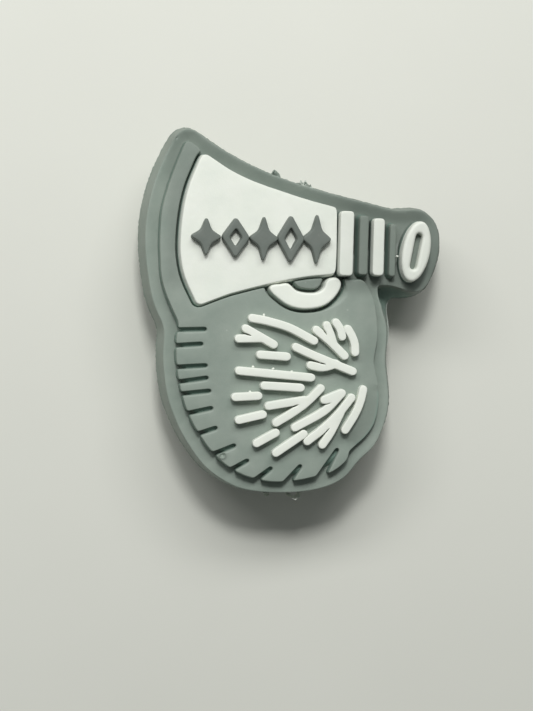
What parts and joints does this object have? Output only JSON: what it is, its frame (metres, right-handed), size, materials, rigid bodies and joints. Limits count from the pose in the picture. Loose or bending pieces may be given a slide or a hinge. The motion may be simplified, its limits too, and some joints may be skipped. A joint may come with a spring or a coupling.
{
  "type": "silicone focal bead",
  "caption": "Flat moulded silicone focal bead shaped like a cheer megaphone over a pom-pom, grey with raised white and dark grey inlays, with a thread hole through its height.",
  "frame": {"origin": "middle of the bead's bounding box at its flat back, on the surface it lies on", "axes": "+Z out of the decorated face, +Y along the thread hole towards the top of the bell, +X towards the megaphone's mouthpiece"},
  "size_m": [0.0253, 0.03, 0.008],
  "materials": {
    "grey_silicone": "matt moulded silicone, mid grey with a green tint",
    "dark_grey_silicone": "matt moulded silicone, dark grey",
    "white_silicone": "satin moulded silicone, warm white"
  },
  "bodies": {
    "root": {"back_body": "grey_silicone", "front_body": "grey_silicone", "horn_panel": "white_silicone", "handle_ring": "white_silicone", "mouth_ring": "white_silicone", "white_band_1": "white_silicone", "white_band_2": "white_silicone", "emblem_1": "dark_grey_silicone", "emblem_2": "dark_grey_silicone", "emblem_3": "dark_grey_silicone", "emblem_4": "dark_grey_silicone", "emblem_5": "dark_grey_silicone", "streak_01": "white_silicone", "streak_02": "white_silicone", "streak_03": "white_silicone", "streak_04": "white_silicone", "streak_05": "white_silicone", "streak_06": "white_silicone", "streak_07": "white_silicone", "streak_08": "white_silicone", "streak_09": "white_silicone", "streak_10": "white_silicone", "streak_11": "white_silicone", "streak_12": "white_silicone", "streak_13": "white_silicone", "streak_14": "white_silicone", "streak_15": "white_silicone", "streak_16": "white_silicone", "streak_17": "white_silicone"}
  },
  "joints": []
}
